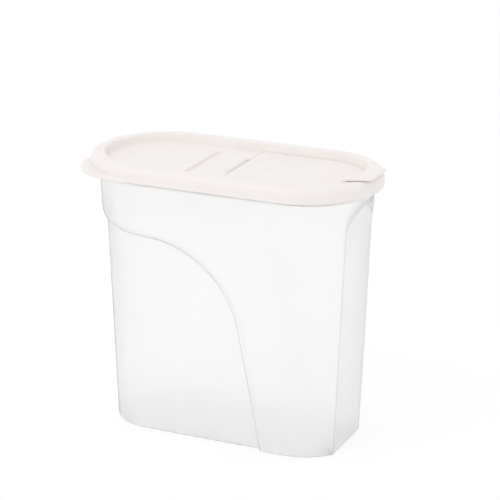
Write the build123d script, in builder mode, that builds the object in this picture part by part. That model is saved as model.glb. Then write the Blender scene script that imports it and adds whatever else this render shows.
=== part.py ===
from build123d import *
import os
from math import cos, radians, sqrt, tan

# A dry-food keeper: an oval translucent container, a press-on lid and a flip-up pouring flap.
# The origin is the middle of the base. +X points to the pouring end, +Z up. Millimetres.

os.makedirs("parts", exist_ok=True)

# ------------------------------------------------------------------ container
half_straight = 61.0            # from the middle to the centre of each rounded end
base_radius = 45.0              # rounded ends, at the base
wall_draft = 1.96               # degrees, the walls lean outwards
body_height = 216.2
wall = 1.5
floor_thickness = 2.0
base_edge_round = 1.5
rim_flange_width = 4.8          # how far the rim stands out of the wall
rim_flange_thickness = 1.8

# ------------------------------------------------- hand grip, set into the wall
grip_depth = 4.0
grip_corner_x = 12.2            # where the two straight edges of the grip would meet
grip_corner_drop = 56.4         # that corner, below the rim
grip_corner_radius = 80.0
grip_level_slope = 5.4          # degrees, the upper edge rises to the left
grip_side_slope = 10.2          # degrees, the right-hand edge leans from upright
grip_edge_round = 1.5           # inside the wall

# ------------------------------------------------- flat panel at the pouring end
panel_depth = 9.2               # how far the flat cuts into the rounded end, at the base
panel_lean = 2.38               # degrees
panel_arch_margin = 1.2         # the arch springs this far outside the flat's own edges
panel_arch_height = 20.0
panel_top_drop = 17.7           # top of the panel's arch, below the rim

# ------------------------------------------------------------------------ lid
lid_wall = 1.6
skirt_gap = 0.5                 # around the container's rim
skirt_depth = 4.6               # below the container's rim
seat_gap = 0.15                 # between the rim and the lid that lies on it
seat_width = 1.75               # how far the lid lies on the rim, inside its skirt
bead_height = 7.4               # above that seat
bead_edge_round = 6.0           # the lid's side turns over in one soft round
lift_corner_radius = 38.5       # squarer ledge at the lid's left end, for the thumbs
lift_thickness = 3.4
lift_edge_round = 1.2
recess_set_in = 3.8             # side of the sunken top, in from the plug ring's outside
recess_depth = 6.25
recess_lean = 13.0              # degrees, side of the sunken top
recess_edge_round = 1.2
plug_thickness = 1.4
plug_depth = 8.7                # the plug ring, below the container's rim
plug_gap = 0.3                  # to the container's wall

# ----------------------------------------------------------- slot and groove
slot_width = 6.5                # from the rolled lip's crest to the flap
slot_half_length = 22.0
slot_lip_radius = 4.4
groove_x = -27.5
groove_width = 5.5
groove_half_length = 32.0
groove_depth = 1.9
groove_corner_radius = 2.2
groove_bottom_round = 1.5

# ----------------------------------------------------------------------- flap
flap_thickness = 1.8
flap_gap = 0.35                 # around the flap's plate
flap_rest_gap = 0.3             # under the flap's plate
flap_edge_x = 3.85              # the plate's hinge end
hinge_set_back = 2.65           # from that end to the hinge axis
pin_radius = 1.5
pin_length = 2.0
pin_gap = 0.05
ledge_width = 5.0               # what the plate rests on, around the pouring opening
ledge_thickness = 1.6
stopper_gap = 0.5               # the flap's ring, inside the pouring opening
stopper_thickness = 1.4
stopper_depth = 4.0
stopper_set_back = 5.0          # the ring's straight side, from the hinge axis
riser_thickness = 1.8           # the flap's end wall, which follows the sunken top's

# ------------------------------------------------------------------------ tab
tab_thickness = 1.8
tab_under_gap = 0.5             # between the bead and the tab that reaches over it
tab_root_half_width = 28.0
tab_tip_half_width = 16.1
tab_corner_radius = 5.0
tab_overhang = 0.15             # beyond the lid's edge
tab_edge_round = 1.0


def end_radius(height):
    """Outer radius of the container's rounded ends at a height."""
    return base_radius + height * tan(radians(wall_draft))


# Sizes that follow from the ones above
rim_flange_radius = end_radius(body_height) + rim_flange_width
skirt_radius = rim_flange_radius + skirt_gap + lid_wall
skirt_bottom = body_height - skirt_depth
seat_z = body_height + seat_gap
bead_top = seat_z + bead_height
bead_flat_radius = skirt_radius - bead_edge_round
bead_hollow_radius = skirt_radius - lid_wall - seat_width
deck_top = bead_top - recess_depth
deck_underside = deck_top - lid_wall
plug_bottom = body_height - plug_depth
plug_radius = end_radius(plug_bottom) - wall - plug_gap
recess_radius = plug_radius - recess_set_in
plate_underside = deck_top - flap_thickness
ledge_top = plate_underside - flap_rest_gap
ledge_underside = ledge_top - ledge_thickness
deck_edge_x = flap_edge_x - flap_gap
slot_left_x = deck_edge_x - slot_width
hinge_x = flap_edge_x + hinge_set_back
hinge_z = deck_top - flap_thickness / 2
opening_radius = recess_radius - ledge_width
plate_radius = recess_radius - flap_gap
tab_underside = bead_top + tab_under_gap
tab_top = tab_underside + tab_thickness
plate_swing = Vector(hinge_set_back, flap_thickness / 2).length + flap_gap
pin_end = plate_radius + pin_length
socket_end = pin_end + flap_gap
stopper_radius = opening_radius - stopper_gap
stopper_start_x = hinge_x + stopper_set_back
slot_floor_start_x = slot_left_x + slot_lip_radius - lid_wall
slot_floor_end_x = stopper_start_x - stopper_gap
tab_root_x = half_straight + sqrt((plate_radius - 2 * riser_thickness) ** 2 - tab_root_half_width**2)
tab_tip_x = half_straight + skirt_radius + tab_overhang
grip_corner_z = body_height - grip_corner_drop
panel_top = body_height - panel_top_drop
reach = 2 * (half_straight + skirt_radius)


def stadium(radius):
    """The oval of every level: two rounded ends on a straight middle."""
    SlotCenterToCenter(2 * half_straight, 2 * radius)


def from_spine(point):
    """How far a point lies, seen from above, from the line between the two end centres."""
    return Vector(max(abs(point.X) - half_straight, 0), point.Y).length


def grip_cutter(inset):
    """What the hand grip takes out of the wall, grown outwards by inset."""
    level = radians(grip_level_slope)
    side = radians(grip_side_slope)
    far = half_straight + skirt_radius
    corner_x = grip_corner_x + inset / cos(side)
    corner_z = grip_corner_z + inset / cos(level)
    corner_radius = grip_corner_radius + inset
    foot_z = -2 * wall - inset
    left_point = (-far, corner_z + (far + corner_x) * tan(level))
    foot_point = (corner_x + (corner_z - foot_z) * tan(side), foot_z)
    with BuildPart() as cutter:
        with BuildSketch(Plane.XZ):
            with BuildLine():
                FilletPolyline(left_point, (corner_x, corner_z), foot_point, radius=corner_radius)
                Polyline(foot_point, (-far, foot_z), left_point)
            make_face()
        extrude(amount=far, both=True)
        with BuildSketch(Plane.XY.offset(foot_z)):
            stadium(end_radius(foot_z) - grip_depth - inset)
        extrude(amount=body_height - foot_z, taper=-wall_draft, mode=Mode.SUBTRACT)
    return cutter.part


def panel_chord(height):
    """Half the width that the flat alone has at a height, where it cuts the rounded end."""
    flat = base_radius - panel_depth + height * tan(radians(panel_lean))
    return sqrt(end_radius(height) ** 2 - flat**2)


def panel_cutter(inset):
    """What the flat end panel takes off the rounded end, grown outwards by inset."""
    foot_x = half_straight + base_radius - panel_depth - inset / cos(radians(panel_lean))
    spring_z = panel_top - panel_arch_height
    half_width = max(panel_chord(0), panel_chord(spring_z)) + panel_arch_margin + inset
    arch_height = panel_arch_height + inset
    leaning = Plane(origin=(foot_x, 0, 0), x_dir=(0, 1, 0), z_dir=Vector(1, 0, 0).rotate(Axis.Y, panel_lean))
    with BuildPart() as cutter:
        with BuildSketch(leaning):
            with Locations((0, spring_z)):
                Ellipse(half_width, arch_height)
            with Locations((0, spring_z / 2 - wall)):
                Rectangle(2 * half_width, spring_z + 2 * wall)
        extrude(amount=reach)
    return cutter.part


def container_form(inset, foot, top):
    """The container's outside, moved inwards by inset, between two heights."""
    grip = grip_cutter(inset)
    panel = panel_cutter(inset)

    def on_full_wall(edge):
        """True where an edge lies on the wall outside the grip."""
        middle = edge @ 0.5
        return abs(from_spine(middle) + inset - end_radius(middle.Z)) < grip_depth / 2

    with BuildPart() as form:
        with BuildSketch(Plane.XY.offset(foot)):
            stadium(end_radius(foot) - inset)
        extrude(amount=top - foot, taper=-wall_draft)
        add(grip, mode=Mode.SUBTRACT)
        grip_edges = form.edges(Select.NEW).filter_by(on_full_wall)
        brow = grip_edges.filter_by(lambda edge: (edge @ 0.5).Z > foot + wall)
        fillet(brow, grip_edge_round + wall - inset)
        add(panel, mode=Mode.SUBTRACT)
        fillet(form.edges().group_by(Axis.Z)[0], base_edge_round)
    return form.part


outside = container_form(0, 0, body_height)
inside = container_form(wall, floor_thickness, body_height + wall)

with BuildPart() as container:
    add(outside)
    with BuildSketch(Plane.XY.offset(body_height - rim_flange_thickness)):
        stadium(rim_flange_radius)
    extrude(amount=rim_flange_thickness)
    add(inside, mode=Mode.SUBTRACT)

container.part.label = "container"
export_step(container.part, "parts/container.step")


# ------------------------------------------------------------------------ lid
def skirt_outline(inset):
    """The lid's edge from above: an oval whose left end has squarer corners."""
    half_length = half_straight + skirt_radius - inset
    stadium(skirt_radius - inset)
    with Locations((-half_length / 2, 0)):
        RectangleRounded(half_length, 2 * (skirt_radius - inset), lift_corner_radius - inset)


def right_of(x):
    """Keeps the part of a sketch to the right of x."""
    with Locations((x + reach / 2, 0)):
        Rectangle(reach, reach, mode=Mode.INTERSECT)


def tab_outline():
    """The tab from above: it narrows from inside the flap's end wall to its tip."""
    root = tab_root_half_width
    tip = tab_tip_half_width
    corners = ((tab_root_x, root), (tab_tip_x, tip), (tab_tip_x, -tip), (tab_root_x, -root))
    sharp = Polygon(*corners, align=None, mode=Mode.PRIVATE).face()
    add(sharp.fillet_2d(tab_corner_radius, sharp.vertices().group_by(Axis.X)[-1]))


def inner_rim(edge):
    """True for the edges where the bead's top turns down into the sunken top."""
    return from_spine(edge @ 0.5) < (recess_radius + bead_flat_radius) / 2


def groove_floor_edge(edge):
    """True for the edges around the groove's floor."""
    middle = edge @ 0.5
    beside = abs(middle.X - groove_x) < (groove_width + lid_wall) / 2
    along = abs(middle.Y) < groove_half_length + lid_wall / 2
    return beside and along and abs(middle.Z - deck_top + groove_depth) < groove_depth / 2


def hinge_rods(radius, start, end, mode=Mode.ADD):
    """Two round rods on the hinge axis, one each side, between two distances from the middle."""
    for side in (-1, 1):
        with Locations(Location((hinge_x, side * (start + end) / 2, hinge_z), (90, 0, 0))):
            Cylinder(radius, end - start, mode=mode)


with BuildPart() as lid_form:
    # the lid's rounded outside, without its recess
    with BuildSketch(Plane.XY.offset(skirt_bottom)):
        stadium(skirt_radius)
    extrude(amount=bead_top - skirt_bottom)
    fillet(lid_form.edges().group_by(Axis.Z)[-1], bead_edge_round)

with BuildPart() as bead_hollow:
    with BuildSketch(Plane.XY.offset(seat_z)):
        stadium(bead_hollow_radius)
    extrude(amount=bead_top - lid_wall - seat_z)
    fillet(bead_hollow.edges().group_by(Axis.Z)[-1], bead_edge_round - lid_wall)

with BuildPart() as lid:
    # the thumb ledge at the left end, and the rounded body over it
    with BuildSketch(Plane.XY.offset(skirt_bottom)):
        skirt_outline(0)
    extrude(amount=lift_thickness)
    fillet(lid.edges().group_by(Axis.Z)[-1], lift_edge_round)
    add(lid_form.part)
    # hollow from below
    with BuildSketch(Plane.XY.offset(skirt_bottom)):
        skirt_outline(lid_wall)
    extrude(amount=lift_thickness - lid_wall, mode=Mode.SUBTRACT)
    with BuildSketch(Plane.XY.offset(skirt_bottom)):
        stadium(skirt_radius - lid_wall)
    extrude(amount=seat_z - skirt_bottom, mode=Mode.SUBTRACT)
    add(bead_hollow.part, mode=Mode.SUBTRACT)
    # the sunken top: a pan that hangs inside the bead
    with BuildSketch(Plane.XY.offset(deck_underside)):
        stadium(recess_radius + lid_wall)
    extrude(amount=bead_top - lid_wall / 2 - deck_underside, taper=-recess_lean)
    with BuildSketch(Plane.XY.offset(deck_underside)):
        stadium(plug_radius)
    extrude(amount=lid_wall)
    # the deeper block that carries the flap
    with BuildSketch(Plane.XY.offset(ledge_underside)):
        stadium(plug_radius)
        right_of(deck_edge_x - lid_wall)
    extrude(amount=deck_top - ledge_underside)
    # bosses for the hinge sockets, hidden inside the bead
    hinge_rods(pin_radius + pin_gap + lid_wall, recess_radius, socket_end + lid_wall)
    # the ring that plugs the container's mouth
    with BuildSketch(Plane.XY.offset(plug_bottom)):
        stadium(plug_radius)
        SlotCenterToCenter(2 * half_straight, 2 * (plug_radius - plug_thickness), mode=Mode.SUBTRACT)
    extrude(amount=deck_underside - plug_bottom)
    # the sunken top's hollow
    with BuildSketch(Plane.XY.offset(deck_top)):
        stadium(recess_radius)
    extrude(amount=recess_depth, taper=-recess_lean, mode=Mode.SUBTRACT)
    fillet(lid.edges().group_by(Axis.Z)[-1].filter_by(inner_rim), recess_edge_round)
    # the well for the flap's plate, and the pouring opening in its floor
    with BuildSketch(Plane.XY.offset(ledge_top)):
        stadium(recess_radius)
        right_of(deck_edge_x)
    extrude(amount=deck_top - ledge_top, mode=Mode.SUBTRACT)
    with BuildSketch(Plane.XY.offset(ledge_underside)):
        stadium(opening_radius)
        right_of(deck_edge_x)
    extrude(amount=ledge_thickness, mode=Mode.SUBTRACT)
    # room beside the hinge, where the plate's short end swings down
    with BuildSketch(Plane.XY.offset(ledge_underside)):
        with Locations((deck_edge_x, 0)):
            Rectangle(hinge_x + plate_swing - deck_edge_x, 2 * recess_radius, align=(Align.MIN, Align.CENTER))
    extrude(amount=ledge_thickness, mode=Mode.SUBTRACT)
    # sockets for the flap's pins
    hinge_rods(pin_radius + pin_gap, plate_radius, socket_end, Mode.SUBTRACT)
    # slot in front of the flap, closed at its ends, with the deck's edge rolled down into it
    with BuildSketch(Plane.XY.offset(deck_top - slot_lip_radius)):
        with Locations((deck_edge_x - slot_width / 2, 0)):
            Rectangle(slot_width, 2 * (slot_half_length + lid_wall))
    extrude(amount=slot_lip_radius)
    with BuildSketch(Plane.XY.offset(deck_top - slot_lip_radius)):
        with Locations((deck_edge_x - slot_width / 2, 0)):
            Rectangle(slot_width, 2 * slot_half_length)
    extrude(amount=slot_lip_radius, mode=Mode.SUBTRACT)
    with BuildSketch(Plane.XZ):
        with Locations((slot_left_x, deck_top - slot_lip_radius)):
            Circle(slot_lip_radius)
            Circle(slot_lip_radius - lid_wall, mode=Mode.SUBTRACT)
            Rectangle(slot_lip_radius, slot_lip_radius, align=(Align.MIN, Align.MIN), mode=Mode.INTERSECT)
    extrude(amount=slot_half_length, both=True)
    # floor that closes the slot from below, on under the flap's short end
    with BuildSketch(Plane.XY.offset(deck_top - slot_lip_radius - lid_wall)):
        with Locations((slot_floor_start_x, 0)):
            floor_width = slot_floor_end_x - slot_floor_start_x
            Rectangle(floor_width, 2 * (slot_half_length + lid_wall), align=(Align.MIN, Align.CENTER))
    extrude(amount=lid_wall)
    # groove across the fixed half of the top, in a channel as thick as the rest
    with BuildSketch(Plane.XY.offset(deck_underside - groove_depth)):
        with Locations((groove_x, 0)):
            Rectangle(groove_width + 2 * lid_wall, 2 * (groove_half_length + lid_wall))
    extrude(amount=groove_depth)
    with BuildSketch(Plane.XY.offset(deck_top - groove_depth)):
        with Locations((groove_x, 0)):
            RectangleRounded(groove_width, 2 * groove_half_length, groove_corner_radius)
    extrude(amount=groove_depth, mode=Mode.SUBTRACT)
    fillet(lid.edges().filter_by(groove_floor_edge), groove_bottom_round)

lid.part.label = "lid"
export_step(lid.part, "parts/lid.step")


# ----------------------------------------------------------------------- flap
def opening_outline(radius, hinge_end):
    """The pouring opening from above, or a shape that lies inside it."""
    stadium(radius)
    right_of(hinge_end)


with BuildPart() as spout_end:
    # end wall, which leans out with the sunken top's side, and the tab on it, over the bead
    with BuildSketch(Plane.XY.offset(deck_top)):
        stadium(plate_radius)
    extrude(amount=tab_top - deck_top, taper=-recess_lean)
    with BuildSketch(Plane.XY.offset(deck_top)):
        tab_outline()
    extrude(amount=tab_top - deck_top, mode=Mode.INTERSECT)
    with BuildSketch(Plane.XY.offset(tab_underside)):
        tab_outline()
    extrude(amount=tab_thickness)
    with BuildSketch(Plane.XY.offset(deck_top)):
        stadium(plate_radius - riser_thickness)
    extrude(amount=tab_top - deck_top, taper=-recess_lean, mode=Mode.SUBTRACT)
    fillet(spout_end.edges().group_by(Axis.Z)[-1], tab_edge_round)

with BuildPart() as flap:
    # plate
    with BuildSketch(Plane.XY.offset(plate_underside)):
        opening_outline(plate_radius, flap_edge_x)
    extrude(amount=flap_thickness)
    add(spout_end.part)
    # ring that closes the pouring opening
    with BuildSketch(Plane.XY.offset(plate_underside - stopper_depth)):
        opening_outline(stopper_radius, stopper_start_x)
        offset(amount=-stopper_thickness, mode=Mode.SUBTRACT)
    extrude(amount=stopper_depth)
    # hinge pins, which start a little way inside the plate
    hinge_rods(pin_radius, plate_radius - pin_radius, pin_end)

flap.part.label = "flap"
export_step(flap.part, "parts/flap.step")
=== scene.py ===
# %% [markdown]
# A cereal keeper: an oval container in frosted, see-through plastic, with a warm white press-on lid
# and a flap that flips up over the pouring opening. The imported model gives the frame: three pieces,
# two joints. This lesson dresses it, sets it on a white table and takes its picture.

import math

import bmesh
import bpy
import numpy as np
from mathutils import Matrix


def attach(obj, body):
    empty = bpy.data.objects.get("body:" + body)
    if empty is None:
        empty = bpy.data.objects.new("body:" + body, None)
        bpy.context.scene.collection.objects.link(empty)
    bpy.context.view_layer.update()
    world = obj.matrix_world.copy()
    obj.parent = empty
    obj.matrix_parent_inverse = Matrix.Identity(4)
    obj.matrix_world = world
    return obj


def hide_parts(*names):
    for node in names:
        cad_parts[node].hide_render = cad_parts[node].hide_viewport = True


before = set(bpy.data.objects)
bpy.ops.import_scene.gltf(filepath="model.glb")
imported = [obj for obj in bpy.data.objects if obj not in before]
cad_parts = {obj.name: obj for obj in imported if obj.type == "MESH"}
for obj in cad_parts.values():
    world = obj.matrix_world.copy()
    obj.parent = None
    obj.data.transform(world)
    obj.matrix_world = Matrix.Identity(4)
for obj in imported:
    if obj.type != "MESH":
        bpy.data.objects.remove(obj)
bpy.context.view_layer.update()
MM = 0.001

# %% [markdown]
# The camera stands where the photograph was taken from: about 1.6 m away, with a long lens, a little to
# the right of the long side and above the lid. The image is 500 by 500 pixels, and half a pixel of shift
# puts the middle of the view where the photograph has it.

# %% Camera
SENSOR, LENS = 36.0, 145.69  # millimetres
HALF_PIXEL = 0.5 / 500
CAMERA_PLACE = np.array((0.63326, -1.37989, 0.66030))
CAMERA_TARGET = np.array((0.012961, 0.0, 0.149419))
CAMERA_ROLL = math.radians(0.079)


def facing(position, target, roll=0.0):
    """Matrix of a camera or lamp: its own -Z runs to the target, and roll turns it about that line."""
    back = np.subtract(position, target)
    back = back / np.linalg.norm(back)
    right = np.cross((0, 0, 1), back)
    right = right / np.linalg.norm(right)
    up = np.cross(back, right)
    turn = np.eye(4)
    turn[:3, 0] = right * math.cos(roll) + up * math.sin(roll)
    turn[:3, 1] = up * math.cos(roll) - right * math.sin(roll)
    turn[:3, 2] = back
    turn[:3, 3] = position
    return Matrix(turn.tolist())


camera = bpy.data.objects.new("camera", bpy.data.cameras.new("camera"))
bpy.context.scene.collection.objects.link(camera)
camera.matrix_world = facing(CAMERA_PLACE, CAMERA_TARGET, CAMERA_ROLL)
camera.data.sensor_width = SENSOR
camera.data.lens = LENS
camera.data.shift_x = -HALF_PIXEL
camera.data.shift_y = HALF_PIXEL
camera.data.clip_end = 100.0
bpy.context.scene.camera = camera
bpy.context.scene.view_settings.view_transform = "Standard"
print("camera", [round(v, 3) for v in CAMERA_PLACE], "lens", round(camera.data.lens, 2), "mm")

# %% [markdown]
# Colours are written as they look on a screen, in hex, and one function turns them into the linear
# values that the renderer works in. Another small function adds a node with its settings and links.


# %% Helpers for materials
def linear(hex_colour):
    """sRGB hex to linear light: c/12.92 up to 0.04045, and ((c+0.055)/1.055)^2.4 above it."""
    c = np.array([int(hex_colour[i : i + 2], 16) for i in (1, 3, 5)]) / 255
    return tuple(np.where(c <= 0.04045, c / 12.92, ((c + 0.055) / 1.055) ** 2.4)) + (1.0,)


def add_node(tree, kind, settings=None, values=None, links=None):
    """Adds one node. settings are its properties, values its sockets, links what feeds its sockets."""
    node = tree.nodes.new(kind)
    for name, value in (settings or {}).items():
        setattr(node, name, value)
    for name, value in (values or {}).items():
        node.inputs[name].default_value = value
    for name, source in (links or {}).items():
        tree.links.new(source, node.inputs[name])
    return node


def new_tree(name):
    """An empty material, its node tree and its output node."""
    material = bpy.data.materials.new(name)
    material.use_nodes = True
    material.node_tree.nodes.clear()
    return material, material.node_tree, add_node(material.node_tree, "ShaderNodeOutputMaterial")


print("the screen's middle grey, #808080, is", round(float(linear("#808080")[0]), 3), "of full light")

# %% [markdown]
# Moulded plastic is never quite even. The tool's skin leaves a fine grain, and the wall sinks a little in
# slow waves as it cools. Both could be painted on, but noise on the piece's own coordinates needs no
# picture, and its scale follows from a real size. Each part of the skin is noise times a depth in metres.

# %% Grain and waves of a moulded skin
SINK_WAVE = 45.0 * MM
NOISE_LOW, NOISE_HIGH = 0.3, 0.7  # nearly all values of the noise lie between these


def lumps(tree, size, detail=2.0):
    """Noise on the piece's own coordinates, in metres, whose lumps are about size wide."""
    where = add_node(tree, "ShaderNodeTexCoord")
    return add_node(tree, "ShaderNodeTexNoise", None, {"Scale": 1.0 / size, "Detail": detail},
                    {"Vector": where.outputs["Object"]}).outputs["Fac"]


def moulded_skin(tree, grain, grain_depth, wave_depth):
    """A bump of fine grain on slow waves: each is noise times its depth in metres."""
    waves = add_node(tree, "ShaderNodeBump", None, {"Strength": 1.0, "Distance": wave_depth},
                     {"Height": lumps(tree, SINK_WAVE, 0.0)})
    return add_node(tree, "ShaderNodeBump", None, {"Strength": 1.0, "Distance": grain_depth},
                    {"Height": lumps(tree, grain), "Normal": waves.outputs[0]}).outputs[0]


print("waves of about", round(SINK_WAVE / MM), "mm")

# %% [markdown]
# The container is polypropylene with no colour in it, moulded in a tool whose faces were blasted with fine
# grit. Its skin is frosted: light goes through, but every ray is bent a little another way, so what is
# inside shows only as a soft shade. A rough transmitting surface gives that. Polypropylene's index is
# 1.49, but the shader bends each ray twice in a wall that real plastic, cloudy all through, blurs on the
# way, so a lower index matches the photograph better. The plastic also takes a little of the light, which
# shows towards the foot, where the eye looks through more of it: that is the absorption. The grain of the
# grit, about 0.4 mm, is a bump and a small change of roughness. Where the wall folds, the eye looks along
# the plastic, and the fold shows as a fine darker line. A clear shell gives no such line by itself, so the
# mesh says where its folds are, and shade is painted there: the base colour goes to a grey along each fold.

# %% Frosted container plastic, with painted shade along its folds
GRIT = 0.4 * MM
# The second tone is painted shade: the grey that the base colour takes along the wall's folds.
CLEAR_TONE, FOLD_SHADE_TONE = "#fefefe", "#b0b0b0"
FROST_INDEX, FROST_CLEARNESS = 1.15, 0.93
FROST_ROUGHNESS = (0.58, 0.66)

frosted, tree, output = new_tree("frosted polypropylene, natural")
# The attribute read here is painted shade along the folds; it mixes the grey into the plastic's own tone.
fold_shade = add_node(tree, "ShaderNodeAttribute", {"attribute_name": "fold_shade"})
tone_and_fold_shade = add_node(tree, "ShaderNodeMix", {"data_type": "RGBA"},
                {"A": linear(CLEAR_TONE), "B": linear(FOLD_SHADE_TONE)}, {"Factor": fold_shade.outputs["Fac"]})
frost = add_node(tree, "ShaderNodeMapRange", None, {
    "From Min": NOISE_LOW, "From Max": NOISE_HIGH, "To Min": FROST_ROUGHNESS[0], "To Max": FROST_ROUGHNESS[1],
}, {"Value": lumps(tree, GRIT * 4)})
shader = add_node(tree, "ShaderNodeBsdfPrincipled", None, {
    "IOR": FROST_INDEX, "Transmission Weight": FROST_CLEARNESS,
}, {
    "Base Color": tone_and_fold_shade.outputs["Result"],
    "Roughness": frost.outputs[0],
    "Normal": moulded_skin(tree, GRIT, 0.015 * MM, 0.4 * MM),
})
inner = add_node(tree, "ShaderNodeVolumeAbsorption", None, {"Color": linear("#bcb8bc"), "Density": 5.0})
tree.links.new(shader.outputs[0], output.inputs["Surface"])
tree.links.new(inner.outputs[0], output.inputs["Volume"])
print(frosted.name, len(tree.nodes), "nodes")

# %% [markdown]
# Lid and flap are the same plastic, filled with white and a touch of warm grey, from a smoother tool: a
# satin skin that blurs a lamp into a soft line along the rounded rim. It is opaque. Its grain is a little
# coarser than the container's but only half as deep, and the rims of real lids are a little shinier where
# hands have rubbed them, so the tone and the roughness wander slowly. The CAD pieces have the right shape
# and stay; they only get this finish.

# %% Lid plastic
LID_GRAIN = 0.5 * MM
RUBBED = 18.0 * MM
LID_TONES = ("#f6f1ee", "#f4eeec")
LID_ROUGHNESS = (0.3, 0.4)
PLASTIC_INDEX = 1.49

satin, tree, output = new_tree("satin polypropylene, warm white")
patches = add_node(tree, "ShaderNodeMapRange", None, {
    "From Min": NOISE_LOW, "From Max": NOISE_HIGH, "To Min": 0.0, "To Max": 1.0,
}, {"Value": lumps(tree, RUBBED)})
tint = add_node(tree, "ShaderNodeMix", {"data_type": "RGBA"},
                {"A": linear(LID_TONES[0]), "B": linear(LID_TONES[1])}, {"Factor": patches.outputs[0]})
shine = add_node(tree, "ShaderNodeMapRange", None, {
    "From Min": NOISE_LOW, "From Max": NOISE_HIGH, "To Min": LID_ROUGHNESS[0], "To Max": LID_ROUGHNESS[1],
}, {"Value": lumps(tree, RUBBED * 0.6)})
shader = add_node(tree, "ShaderNodeBsdfPrincipled", None, {"IOR": PLASTIC_INDEX}, {
    "Base Color": tint.outputs["Result"],
    "Roughness": shine.outputs[0],
    "Normal": moulded_skin(tree, LID_GRAIN, 0.008 * MM, 0.15 * MM),
})
tree.links.new(shader.outputs[0], output.inputs["Surface"])
for name in ("lid", "flap"):
    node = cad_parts[name]
    node.data.materials.clear()
    node.data.materials.append(satin)
print(satin.name, len(tree.nodes), "nodes")

# %% [markdown]
# The container is one injection-moulded shell, 1.5 mm thick. From above it is an oval: two rounded ends
# on a straight middle. Its walls lean out by 2 degrees, a hand grip is sunk into the whole left half,
# and the right end is cut flat under an arch. It could be cut out with booleans, but every edge would
# then be as sharp as the cut. Here each wall is a grid instead: columns run round the oval, rows run up
# the wall, and the rows bend so that one of them always lies exactly on the grip's edge and another on
# the arch. A crease that lies on a row stays crisp with few faces.

# %% Sizes of the container, in millimetres
HALF_STRAIGHT = 61.0
BASE_RADIUS = 45.0
DRAFT = math.tan(math.radians(1.96))
BODY_HEIGHT = 216.2
WALL = 1.5
FLOOR = 2.0
EDGE_ROUND = 1.5


def end_radius(z):
    """Outer radius of the rounded ends: the base radius plus the height times the draft."""
    return BASE_RADIUS + z * DRAFT


print("oval at the base:", 2 * (HALF_STRAIGHT + BASE_RADIUS), "by", 2 * BASE_RADIUS, "mm,",
      "ends at the top:", round(end_radius(BODY_HEIGHT), 1), "mm in radius")

# %% [markdown]
# The grip is the same on both long sides, so its edge can be drawn once, as it is seen from the side: a
# nearly level line, a large arc and a steep line. The wall steps out over that edge. The stretch between
# the upright and the square distance keeps the step as wide on the steep part as on the level one.

# %% The grip's edge, seen from the side
GRIP_DEPTH = 4.0
GRIP_CORNER = (12.2, 159.8)  # where the grip's two straight edges would meet
GRIP_ARC = 80.0
GRIP_LEVEL = math.radians(5.4)
GRIP_SIDE = math.radians(10.2)


def grip_edge(x, grow):
    """Height of the edge over x, and the stretch between its upright and its square distance.
    It is a line that falls by 5.4 degrees, an arc of 80 mm, then a line that leans 10.2 degrees.
    grow moves the whole edge outwards, square to itself, for the inside of the wall."""
    radius = GRIP_ARC + grow
    corner_x = GRIP_CORNER[0] + grow / math.cos(GRIP_SIDE)
    corner_z = GRIP_CORNER[1] + grow / math.cos(GRIP_LEVEL)
    turn = math.pi / 2 - GRIP_SIDE - GRIP_LEVEL
    tangent = radius * math.tan(turn / 2)
    start_x = corner_x - tangent * math.cos(GRIP_LEVEL)
    start_z = corner_z + tangent * math.sin(GRIP_LEVEL)
    end_x = corner_x + tangent * math.sin(GRIP_SIDE)
    centre_x = start_x - radius * math.sin(GRIP_LEVEL)
    centre_z = start_z - radius * math.cos(GRIP_LEVEL)
    inside = np.clip((x - centre_x) / radius, -1, 1)
    level = corner_z + (corner_x - x) * math.tan(GRIP_LEVEL)
    arc = centre_z + radius * np.sqrt(1 - inside**2)
    side = corner_z - (x - corner_x) / math.tan(GRIP_SIDE)
    arc_slope = inside / np.sqrt(1 - inside**2 + 1e-12)
    on_level, on_arc = x < start_x, x < end_x
    z = np.where(on_level, level, np.where(on_arc, arc, side))
    slope = np.where(on_level, math.tan(GRIP_LEVEL), np.where(on_arc, arc_slope, 1 / math.tan(GRIP_SIDE)))
    return z, np.sqrt(1 + slope**2)


print("the grip's edge is", np.round(grip_edge(np.array((-100.0, 0.0, 40.0)), 0.0)[0], 1), "mm high")

# %% [markdown]
# The brow is the rounded step over that edge. On the long sides it is under a millimetre high, and round
# the left end it grows broad, so the wall there swells out softly over the hand.

# %% The brow
BROW_END, BROW_SIDE = 13.0, 0.7  # height over which the brow rounds, at the left end and on the sides
BROW_LEAST = 0.4
BROW_GROWS_FROM, BROW_GROWS_OVER = -70.0, 38.0


def smooth_step(x):
    """0 below 0, 1 above 1, and 3x^2 - 2x^3 between."""
    x = np.clip(x, 0, 1)
    return x * x * (3 - 2 * x)


def brow_width(x, inset):
    """Height over which the brow rounds: narrow on the long sides, growing from 70 to 108 mm to the left."""
    broad = smooth_step((BROW_GROWS_FROM - x) / BROW_GROWS_OVER)
    return np.maximum(BROW_SIDE + (BROW_END - BROW_SIDE) * broad - inset, BROW_LEAST)


def brow_depth(above, brow):
    """How deep the wall is sunk at a square distance above the grip's edge: D(1 - sqrt(1 - (1 - s/w)^2))."""
    return GRIP_DEPTH * (1 - np.sqrt(1 - np.clip(1 - above / brow, 0, 1) ** 2))


print("the brow is", np.round(brow_width(np.array((0.0, -90.0, -110.0)), 0.0), 1), "mm broad")

# %% [markdown]
# Every column of the grid has a place on the oval: a point on the straight line between the two end
# centres, and the direction that it looks outwards from there. The columns of the right end are placed
# by the flat panel: the first ones share out the panel's width, and the rest the curve beside it, so
# the panel's two upright edges lie exactly on a column at every height.

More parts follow.
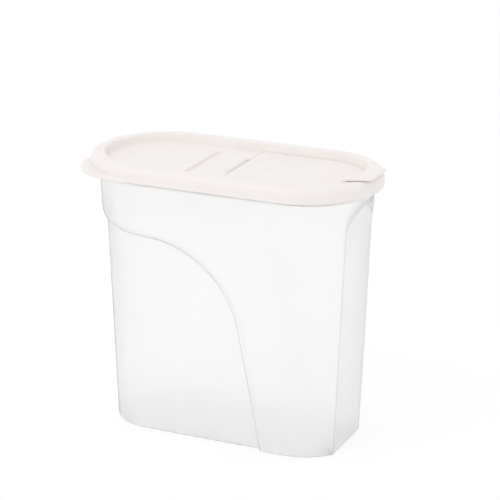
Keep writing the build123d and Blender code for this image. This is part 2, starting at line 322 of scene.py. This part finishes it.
# %% Columns round the oval
PANEL_SHARES = np.array((
    0.0, 0.15, 0.3, 0.45, 0.6, 0.74, 0.86, 0.94, 0.975, 0.99, 1.0,  # on the panel
    1.01, 1.025, 1.06, 1.13, 1.24, 1.36, 1.49, 1.62, 1.75, 1.88,  # on the curve beside it
))
SIDE_X = np.concatenate((
    np.linspace(HALF_STRAIGHT, 43.0, 7), np.linspace(42.0, 6.0, 49), np.linspace(4.5, -60.0, 44)))
LEFT_TURNS = np.radians(np.linspace(90.0, 270.0, 91))

past_right_end = np.full(2 * len(SIDE_X) + len(LEFT_TURNS), np.nan)
column_share = np.concatenate((PANEL_SHARES, past_right_end, -PANEL_SHARES[:0:-1]))
on_right_end = ~np.isnan(column_share)
share = np.where(on_right_end, column_share, 0.0)
on_panel = on_right_end & (np.abs(share) < 1)

column_x = np.full(len(column_share), HALF_STRAIGHT)
column_x[~on_right_end] = np.concatenate((SIDE_X, np.full(len(LEFT_TURNS), -HALF_STRAIGHT), SIDE_X[::-1]))
column_turn = np.full(len(column_share), np.nan)
column_turn[~on_right_end] = np.concatenate((
    np.full(len(SIDE_X), math.pi / 2), LEFT_TURNS, np.full(len(SIDE_X), 1.5 * math.pi)))
column_reach = np.where(on_right_end, 0.0, np.cos(column_turn))  # how far it looks along x
print(len(column_x), "columns round the oval,", int(on_panel.sum()), "of them on the panel")

# %% [markdown]
# The panel is a plane that leans out a little more than the walls do. Where it cuts the rounded end, the
# two meet in an edge, and a real tool has no knife edge there, so the smaller of the two distances is
# taken with a blend of half a millimetre.

# %% Points on the wall
PANEL_DEPTH = 9.2
PANEL_LEAN = math.tan(math.radians(2.38))
PANEL_BLEND = 0.5


def panel_plane(z, inset):
    """x of the flat panel at a height: 96.8 mm at the base, leaning out with the height, less the inset."""
    return HALF_STRAIGHT + BASE_RADIUS - PANEL_DEPTH + z * PANEL_LEAN - inset


def half_chord(radius, z, inset):
    """Half of the panel's width where its plane cuts a round end: sqrt(R^2 - f^2)."""
    return np.sqrt(np.maximum(radius**2 - (panel_plane(z, inset) - HALF_STRAIGHT) ** 2, 0))


def right_end_turn(radius, chord):
    """The way that a column of the right end looks, from +X: asin(share c / R) on the panel, and past its
    edge an even share of what is left of the quarter turn."""
    edge_turn = np.arcsin(chord / radius)
    past_edge = edge_turn + np.maximum(np.abs(share) - 1, 0) * (math.pi / 2 - edge_turn)
    within = np.arcsin(np.minimum(np.abs(share), 1) * chord / radius)
    return np.where(np.abs(share) <= 1, within, past_edge) * np.sign(share)


def softened_minimum(a, b, blend):
    """The smaller of a and b; where they are closer than blend, less (blend - |a-b|)^2 / (4 blend)."""
    overlap = np.maximum(blend - np.abs(a - b), 0)
    return np.minimum(a, b) - overlap**2 / (4 * blend)


def oval_point(z, inset, sunk=0.0, flat=1.0):
    """x and y of every column at heights z, and the outward direction there. The radius is the end radius
    less inset and sunk, and flat says how far the surface has gone from the round end (0) to the panel's
    plane (1)."""
    radius = end_radius(z) - inset
    turn = np.where(on_right_end, right_end_turn(radius, half_chord(radius, z, inset)), column_turn)
    x = column_x + (radius - sunk) * np.cos(turn)
    y = (radius - sunk) * np.sin(turn)
    cut = softened_minimum(x, panel_plane(z, inset), PANEL_BLEND)
    x = np.where(on_right_end, x + flat * (cut - x), x)
    looks_right = on_panel & (np.asarray(flat) > 0)
    return x, y, np.where(looks_right, 1.0, np.cos(turn)), np.where(looks_right, 0.0, np.sin(turn))


print("the panel is", round(2 * float(half_chord(end_radius(0.0), 0.0, 0.0)), 1), "mm wide at the base")

# %% [markdown]
# From the foot to the brow, the rows follow the grip's edge: some below it, close together near the edge,
# then a quarter of an ellipse over the brow, then a few just above it that leave room for the line of
# painted shade along the fold. Where there is no grip, or its edge is below the foot, the same rows lie
# on the plain wall.

# %% Rows from the foot to just above the brow
LOWER_ROWS = (0.0, 0.2, 0.4, 0.6, 0.8, 0.93, 0.985)
BROW_TURNS = np.radians((0, 6, 14, 24, 36, 50, 64, 78, 90))
FOLD_ROWS = (0.4, 0.8, 1.2)  # above the brow, in millimetres


def grip_on_columns(reach, inset):
    """The grip's edge, its stretch and the brow on every column of a wall that is reach from the centres."""
    x = column_x + reach * column_reach
    return (*grip_edge(x, inset), brow_width(x, inset))


def grip_rows(inset, bottom):
    """Heights and depths of the rows. Over the brow the height above the edge is w(1 - cos a), and the
    depth D(1 - sin a)."""
    reach = end_radius(GRIP_CORNER[1]) - inset - GRIP_DEPTH / 2
    edge, stretch, brow = grip_on_columns(reach, inset)
    rows = []
    for part in LOWER_ROWS:
        z = bottom + part * (np.maximum(edge, bottom) - bottom)
        rows.append((z, np.where(edge > bottom, GRIP_DEPTH, brow_depth((z - edge) / stretch, brow))))
    for turn in BROW_TURNS:
        z = np.maximum(edge + stretch * brow * (1 - math.cos(turn)), bottom)
        on_brow = GRIP_DEPTH * (1 - math.sin(turn))
        rows.append((z, np.where(z > bottom, on_brow, brow_depth((z - edge) / stretch, brow))))
    for rise in FOLD_ROWS:
        rows.append((np.maximum(edge + stretch * (brow + rise), bottom), 0.0))
    return rows


print(len(grip_rows(0.0, EDGE_ROUND)), "rows up to just above the brow")

# %% [markdown]
# Above the brow the rows even out, and one of them lies on the panel's arch. Over the arch the wall steps
# out from the plane to the round end. A level ledge shows as a dark patch there, where the photograph has
# only a thin line, so the ledge slopes: its rows rise as it comes forward, by a share of its depth.

# %% Rows over the arch to the rim
ARCH_HALF_WIDTH, ARCH_HEIGHT, ARCH_SPRING = 28.5, 20.0, 178.5
ARCH_SLOPE = 0.7  # rise of the ledge for each millimetre that it comes forward
ARCH_ROWS = (0.15, 0.3, 0.5, 0.7, 0.85, 1.0)
MIDDLE_ROWS = (0.05, 0.2, 0.4, 0.6, 0.8, 1.0)
LEAST_MIDDLE = 3.0
FOLD_HALF_WIDTH = 0.9
TOP_ROWS = (0.3, 0.65, 1.0)


def arch_rows(inset, above, top):
    """Heights of the rows and how flat each is. The arch is half an ellipse, h sqrt(1 - (y/w)^2), over its
    spring line. The ledge's depth is the round end's reach less the plane's."""
    chord = half_chord(end_radius(ARCH_SPRING) - inset, ARCH_SPRING, inset)
    across = np.where(on_right_end, np.minimum(np.abs(share), 1.0), 1.0) * chord
    rise = np.sqrt(1 - (across / (ARCH_HALF_WIDTH + inset)) ** 2)
    arch = np.maximum(ARCH_SPRING + (ARCH_HEIGHT + inset) * rise, above + LEAST_MIDDLE)
    round_end = np.sqrt((end_radius(arch) - inset) ** 2 - across**2)
    ledge = np.maximum(column_x + round_end - panel_plane(arch, inset), 0)
    slope = ARCH_SLOPE * np.where(on_panel, ledge, 0.0)
    middle = [above + part * (arch - FOLD_HALF_WIDTH - above) for part in MIDDLE_ROWS]
    rows = [(z, 1.0) for z in (*middle, arch)]
    rows += [(arch + part * slope, 1 - smooth_step(part)) for part in ARCH_ROWS]
    rows += [(arch + slope + part * (top - arch - slope), 0.0) for part in TOP_ROWS]
    return rows


def wall_rows(inset, bottom, top):
    """Rows of points (x, y, z) from bottom to top on one face of the wall."""
    rows = [(z, sunk, 1.0) for z, sunk in grip_rows(inset, bottom)]
    rows += [(z, 0.0, flat) for z, flat in arch_rows(inset, rows[-1][0], top)]
    return [(*oval_point(z, inset, sunk, flat)[:2], z) for z, sunk, flat in rows]


print(len(wall_rows(0.0, EDGE_ROUND, BODY_HEIGHT)), "rows up the wall")

# %% [markdown]
# The foot turns in with a small round, the same inside and out, and ends on the line between the two end
# centres, where the grid closes. The rim is a plain oval ring that stands out under the lid's skirt.

# %% Foot and rim
FOOT_TURNS = np.radians((22.5, 45, 67.5, 90))
BASE_ROWS = (0.85, 0.6, 0.3, 0.0)
RIM_RADIUS, RIM_THICKNESS, RIM_ROUND = 57.2, 1.8, 0.3


def foot_rows(inset, level):
    """Rows from the wall's lowest one, in by r(1 - cos a) and down by r sin a, then in to the centres."""
    z = np.full(len(column_x), level + EDGE_ROUND)
    edge, stretch, brow = grip_on_columns(end_radius(0.0) - GRIP_DEPTH, inset)
    sunk = np.where(edge > z, GRIP_DEPTH, brow_depth((z - edge) / stretch, brow))
    x, y, look_x, look_y = oval_point(z, inset, sunk)
    rows = []
    for turn in FOOT_TURNS:
        inwards = EDGE_ROUND * (1 - math.cos(turn))
        rows.append((x - look_x * inwards, y - look_y * inwards, z - EDGE_ROUND * math.sin(turn)))
    edge_x, edge_y, base_z = rows[-1]
    rows += [(column_x + part * (edge_x - column_x), part * edge_y, base_z) for part in BASE_ROWS]
    return rows


def rim_rows(stations):
    """Rows of the plain oval at (radius, z) stations, on the columns that the wall has at that height."""
    rows = []
    for radius, height in stations:
        wall = end_radius(height)
        turn = np.where(on_right_end, right_end_turn(wall, half_chord(wall, height, 0.0)), column_turn)
        rows.append((column_x + radius * np.cos(turn), radius * np.sin(turn), np.full(len(column_x), height)))
    return rows


print("the rim stands out", round(RIM_RADIUS - end_radius(BODY_HEIGHT), 1), "mm")

# %% [markdown]
# Outside, rim and inside are one run of rows, from the middle of the underside, up, over the rim and down
# to the middle of the floor, so the shell has no open edge. Each row closes round the oval. Points that
# fall together, as on the centre line, are merged, and folds of more than 30 degrees are kept sharp.

# %% From rows to a mesh
CREASE = math.radians(30.0)
MERGE, NO_LENGTH = 2e-6, 1e-6  # metres


def finish_mesh(mesh):
    """Merges doubles, drops faces with no area, turns the faces outwards and marks creases."""
    work = bmesh.new()
    work.from_mesh(mesh)
    bmesh.ops.remove_doubles(work, verts=work.verts, dist=MERGE)
    bmesh.ops.dissolve_degenerate(work, edges=work.edges, dist=NO_LENGTH)
    volume = work.calc_volume(signed=True)
    if volume < 0:
        bmesh.ops.reverse_faces(work, faces=work.faces)
    open_edges = sum(1 for edge in work.edges if len(edge.link_faces) != 2)
    print(mesh.name, len(work.faces), "faces,", open_edges, "open edges,",
          round(abs(volume) * 1e6, 1), "cubic cm")
    work.to_mesh(mesh)
    work.free()
    mesh.shade_smooth()
    mesh.set_sharp_from_angle(angle=CREASE)


def closed_grid(name, rows):
    """A mesh from rows of points that close round: square faces between each row and the next."""
    points = np.stack([np.stack(row, axis=-1) for row in rows])
    n_rows, n_columns = points.shape[:2]
    here = np.arange(n_rows * n_columns).reshape(n_rows, n_columns)
    beside = np.roll(here, -1, axis=1)
    faces = np.stack((here[:-1], beside[:-1], beside[1:], here[1:]), axis=-1).reshape(-1, 4)
    mesh = bpy.data.meshes.new(name)
    mesh.from_pydata((points.reshape(-1, 3) * MM).tolist(), [], faces.tolist())
    finish_mesh(mesh)
    obj = bpy.data.objects.new(name, mesh)
    bpy.context.scene.collection.objects.link(obj)
    return obj


rim_bottom = BODY_HEIGHT - RIM_THICKNESS
outside = foot_rows(0.0, 0.0)[::-1] + wall_rows(0.0, EDGE_ROUND, rim_bottom)
rim = rim_rows((
    (RIM_RADIUS - RIM_ROUND, rim_bottom), (RIM_RADIUS, rim_bottom + RIM_ROUND),
    (RIM_RADIUS, BODY_HEIGHT - RIM_ROUND), (RIM_RADIUS - RIM_ROUND, BODY_HEIGHT),
))
inside = wall_rows(WALL, FLOOR + EDGE_ROUND, BODY_HEIGHT)[::-1] + foot_rows(WALL, FLOOR)
container = closed_grid("container_shell", outside + rim + inside)
container.data.materials.append(frosted)
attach(container, "container")
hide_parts("container")

# %% [markdown]
# Now the mesh says where shade is painted along its folds: one number at each point, 1 in the middle
# of a full fold and 0 on the plain wall. The grip's edge is the clearest, the panel's edges and its arch
# are fainter, the foot is a full painted dark line and the underside takes a faint grey. Where the brow
# grows broad it has no fold, so the line ends there. Only the outer skin is marked. A line under two
# millimetres wide needs rows close to the fold, which the grid has.

# %% Painted shade along the container's folds
# Strengths of the painted shade: how far the base colour goes to the grey at each fold.
GRIP_SHADE, PANEL_SHADE, FOOT_SHADE, UNDERSIDE_SHADE = 0.85, 0.6, 1.0, 0.04
OUTER_SKIN = GRIP_DEPTH * 0.3
BROAD_BROW = BROW_SIDE * 6
FOOT_LOW, FOOT_HIGH = EDGE_ROUND * 0.05, EDGE_ROUND * 0.5
OVER_ARCH = 0.1


def near(distance, half_width):
    """1 at no distance, falling evenly to 0 at the half width and beyond."""
    return np.clip(1 - np.abs(distance) / half_width, 0, 1)


def paint_fold_shade(mesh):
    """Writes the painted shade attribute: the greatest of each fold's strength times how near the point is to
    it.
    """
    points = np.empty(3 * len(mesh.vertices))
    mesh.vertices.foreach_get("co", points)
    x, y, z = points.reshape(-1, 3).T / MM
    radius = end_radius(z)
    from_centres = np.hypot(np.maximum(np.abs(x) - HALF_STRAIGHT, 0), y)
    edge, stretch = grip_edge(x, 0.0)
    brow = brow_width(x, 0.0)
    grip = near((z - edge) / stretch - brow, FOLD_HALF_WIDTH)
    grip = grip * (from_centres > radius - OUTER_SKIN) * (brow < BROAD_BROW)
    chord = half_chord(radius, z, 0.0)
    arch = ARCH_SPRING + ARCH_HEIGHT * np.sqrt(np.maximum(1 - (y / ARCH_HALF_WIDTH) ** 2, 0))
    outer_flat = x > panel_plane(z, 0.0) - WALL / 2
    beside_panel = outer_flat & (z > FOOT_HIGH) & (z < arch + OVER_ARCH)
    upright = near(np.abs(y) - chord, FOLD_HALF_WIDTH) * beside_panel
    top = near(z - arch, FOLD_HALF_WIDTH) * outer_flat * (np.abs(y) < chord)
    foot = (z > FOOT_LOW) & (z < FOOT_HIGH)
    # The painted shade at each point, from 0 on the plain wall to 1 on a full fold.
    fold_shade = np.maximum.reduce((
        grip * GRIP_SHADE, upright * PANEL_SHADE, top * PANEL_SHADE, foot * FOOT_SHADE,
        (z < FOOT_LOW) * UNDERSIDE_SHADE,
    ))
    mesh.attributes.new("fold_shade", "FLOAT", "POINT").data.foreach_set("value", fold_shade)
    print(int((fold_shade > 0.5).sum()), "points on folds")


paint_fold_shade(container.data)

# %% [markdown]
# The picture was taken on a seamless white table, so bright that it is pure white everywhere but in the
# soft shadow at the foot. The table and the sky give the object a plain, even light. What the camera sees
# of them, also through the frosted wall and in reflections, is lifted to white by a little glow that
# Light Path adds to those rays alone. From below, the table is clear, so that the underside can be seen.

# %% Table
TABLE_HALF = 12.0
TABLE_LEVEL = -0.0003  # just under the foot
GLOW_SHARE, GLOW_LEVEL = 0.6, 1.08


def sight_rays(tree):
    """1 on rays that come from the camera, a reflection or through clear plastic, and 0 on the rest."""
    path = add_node(tree, "ShaderNodeLightPath")
    total = path.outputs["Is Camera Ray"]
    for name in ("Is Glossy Ray", "Is Transmission Ray"):
        total = add_node(tree, "ShaderNodeMath", {"operation": "MAXIMUM"}, None, {
            0: total, 1: path.outputs[name]}).outputs[0]
    return total


table_finish, tree, output = new_tree("white table")
paper = add_node(tree, "ShaderNodeBsdfDiffuse", None, {"Color": linear("#f8f8f8")})
glow = add_node(tree, "ShaderNodeEmission", None, {"Color": linear("#ffffff"), "Strength": GLOW_LEVEL})
glow_share = add_node(tree, "ShaderNodeMath", {"operation": "MULTIPLY"},
                      {1: GLOW_SHARE}, {0: sight_rays(tree)})
lit = add_node(tree, "ShaderNodeMixShader", None, None, {
    0: glow_share.outputs[0], 1: paper.outputs[0], 2: glow.outputs[0]})
side = add_node(tree, "ShaderNodeNewGeometry")
clear = add_node(tree, "ShaderNodeBsdfTransparent")
seen = add_node(tree, "ShaderNodeMixShader", None, None, {
    0: side.outputs["Backfacing"], 1: lit.outputs[0], 2: clear.outputs[0]})
tree.links.new(seen.outputs[0], output.inputs["Surface"])

floor_mesh = bpy.data.meshes.new("floor")
corners = [(TABLE_HALF * x, TABLE_HALF * y, TABLE_LEVEL) for x, y in ((-1, -1), (1, -1), (1, 1), (-1, 1))]
floor_mesh.from_pydata(corners, [], [(0, 1, 2, 3)])
floor_mesh.materials.append(table_finish)
floor = bpy.data.objects.new("floor", floor_mesh)
bpy.context.scene.collection.objects.link(floor)
print(table_finish.name, 2 * TABLE_HALF, "m wide")

# %% [markdown]
# The sky is a little under full white, so white plastic keeps its shades. Two soft boxes add what the
# even light leaves out: a wide one in front lifts the long wall, and a small one high on the left draws
# the soft line of light along the lid's rounded rim.

# %% Sky and lamps
SKY_LEVEL = 0.92
LAMP_POWER = 3.0

world = bpy.data.worlds.new("studio")
world.use_nodes = True
bpy.context.scene.world = world
tree = world.node_tree
tree.nodes.clear()
level = add_node(tree, "ShaderNodeMath", {"operation": "MULTIPLY_ADD"},
                 {1: 1.0 - SKY_LEVEL, 2: SKY_LEVEL}, {0: sight_rays(tree)})
sky = add_node(tree, "ShaderNodeBackground", None,
               {"Color": linear("#ffffff")}, {"Strength": level.outputs[0]})
add_node(tree, "ShaderNodeOutputWorld", None, None, {"Surface": sky.outputs[0]})


def soft_box(name, position, target, size, watts):
    """A square lamp that faces its target."""
    lamp = bpy.data.lights.new(name, "AREA")
    lamp.size = size
    lamp.energy = watts
    obj = bpy.data.objects.new(name, lamp)
    obj.matrix_world = facing(position, target)
    bpy.context.scene.collection.objects.link(obj)
    print(name, watts, "W,", size, "m square")


soft_box("front soft box", (-0.4, -2.2, 1.2), (0, 0, 0.1), 1.6, LAMP_POWER)
soft_box("rim soft box", (-0.86, -1.05, 1.94), (0, 0, 0.2), 0.6, LAMP_POWER)
